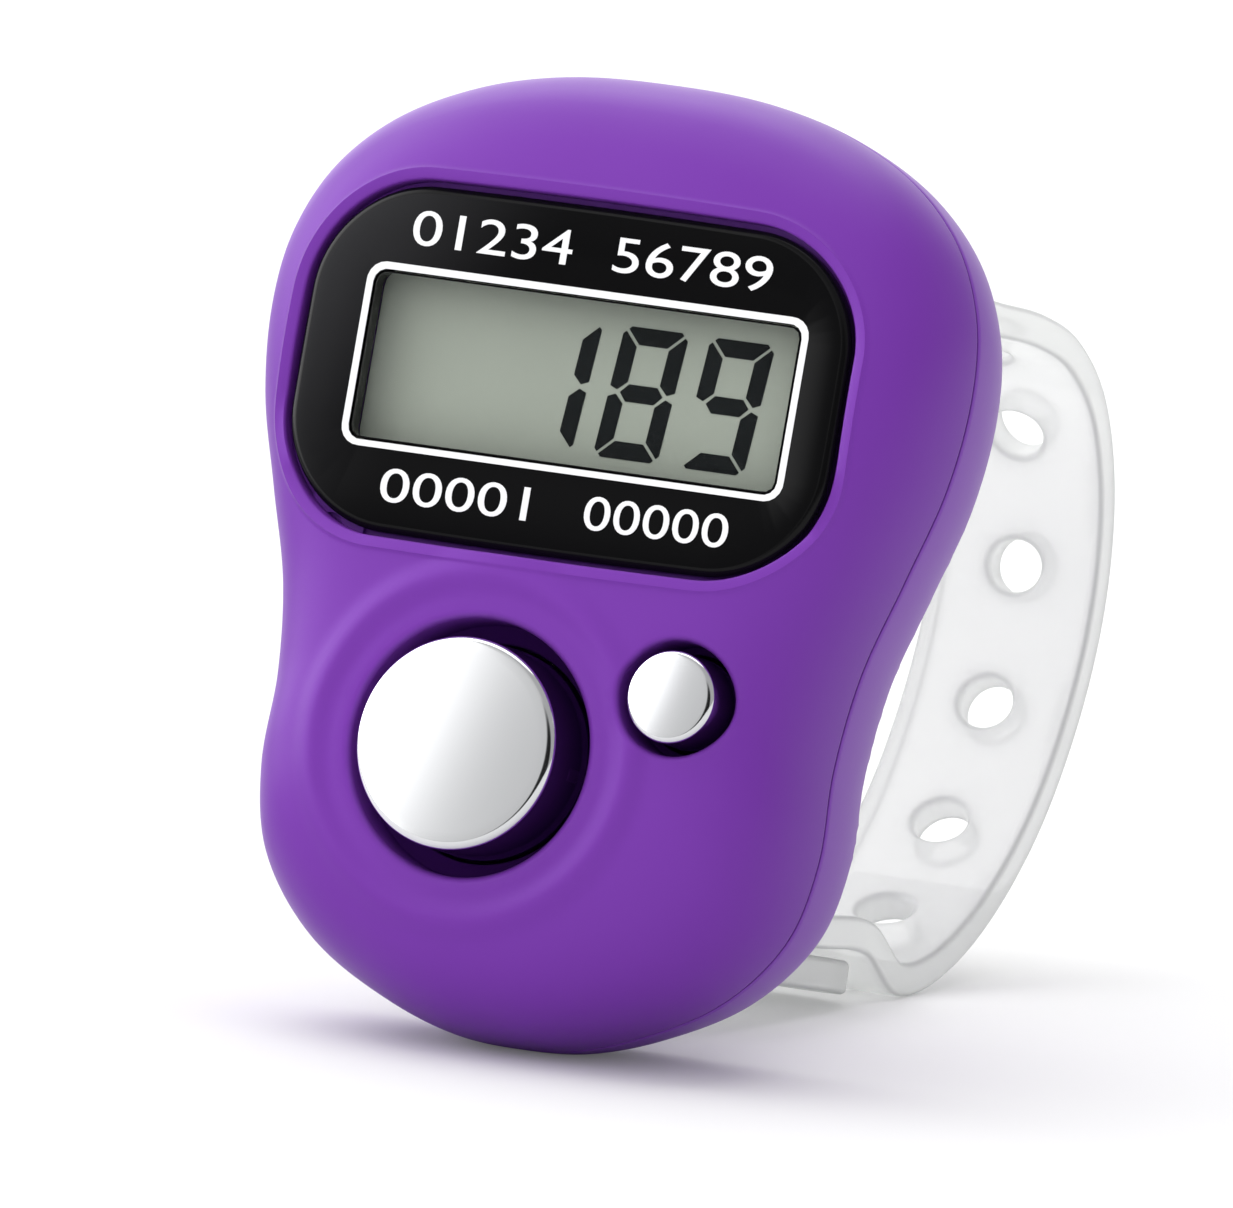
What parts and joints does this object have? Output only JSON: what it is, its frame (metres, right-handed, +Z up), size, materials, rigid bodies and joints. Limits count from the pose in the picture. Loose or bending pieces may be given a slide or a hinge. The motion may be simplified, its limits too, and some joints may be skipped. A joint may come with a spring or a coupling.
{
  "type": "digital tally counter",
  "caption": "Finger tally counter: soft two-part case with a display panel, a push button to count, a reset button, a coin-cell door and a perforated strap loop for a finger.",
  "frame": {"origin": "on the ground under the middle of the model's box; the counter stands leaning back on its strap loop", "axes": "+X to the counter's right as seen from its display, +Y from the display side towards the strap loop, +Z up"},
  "size_m": [0.0302, 0.0548, 0.0392],
  "materials": {
    "purple_plastic": "satin",
    "rear_purple_plastic": "satin",
    "black_gloss": "glossy",
    "clear_pane": "clear",
    "display_glass": "clear",
    "reflector_foil": "satin",
    "dark_rubber": "matte",
    "grey_foam": "matte",
    "board_green": "satin",
    "black_resin": "glossy",
    "chip_tan": "satin",
    "chip_black": "satin",
    "chrome": "polished",
    "carbon": "matte",
    "cell_steel": "brushed",
    "contact_metal": "satin",
    "clear_strap": "translucent",
    "screw_steel": "satin"
  },
  "bodies": {
    "case_body": {"front_case": "purple_plastic", "rear_case": "rear_purple_plastic", "bezel_panel": "black_gloss", "window_pane": "clear_pane", "lcd_front_glass": "display_glass", "lcd_rear_glass": "display_glass", "lcd_reflector": "reflector_foil", "zebra_strip": "dark_rubber", "foam_strip": "grey_foam", "main_board": "board_green", "chip_blob": "black_resin", "chip_capacitor": "chip_tan", "chip_resistor": "chip_black", "count_rubber_dome": "dark_rubber", "reset_rubber_dome": "dark_rubber", "button_cell": "cell_steel", "positive_contact": "contact_metal", "negative_contact": "contact_metal", "strap_long": "clear_strap", "strap_short": "clear_strap", "case_screw_1": "screw_steel", "case_screw_2": "screw_steel", "case_screw_3": "screw_steel", "case_screw_4": "screw_steel", "board_screw_1": "screw_steel", "board_screw_2": "screw_steel", "board_screw_3": "screw_steel"},
    "count_button_body": {"count_button": "chrome", "count_carbon_pill": "carbon"},
    "reset_button_body": {"reset_button": "chrome", "reset_carbon_pill": "carbon"},
    "battery_door_body": {"battery_door": "rear_purple_plastic"}
  },
  "joints": [
    {"name": "count_press", "type": "slide", "parent": "case_body", "child": "count_button_body", "axis": [0, 0.9766, -0.2152], "range_m": [0, 0.0008], "stiffness_N_per_m": 1500, "springref_m": -0.0004, "deforming": ["count_rubber_dome"]},
    {"name": "reset_press", "type": "slide", "parent": "case_body", "child": "reset_button_body", "axis": [0, 0.9766, -0.2152], "range_m": [0, 0.0006], "stiffness_N_per_m": 1500, "springref_m": -0.0004, "deforming": ["reset_rubber_dome"]},
    {"name": "battery_door_twist", "type": "hinge", "parent": "case_body", "child": "battery_door_body", "pos_m": [0, -0.01071, 0.01943], "axis": [0, 0.9766, -0.2152], "range_deg": [0, 35]}
  ]
}
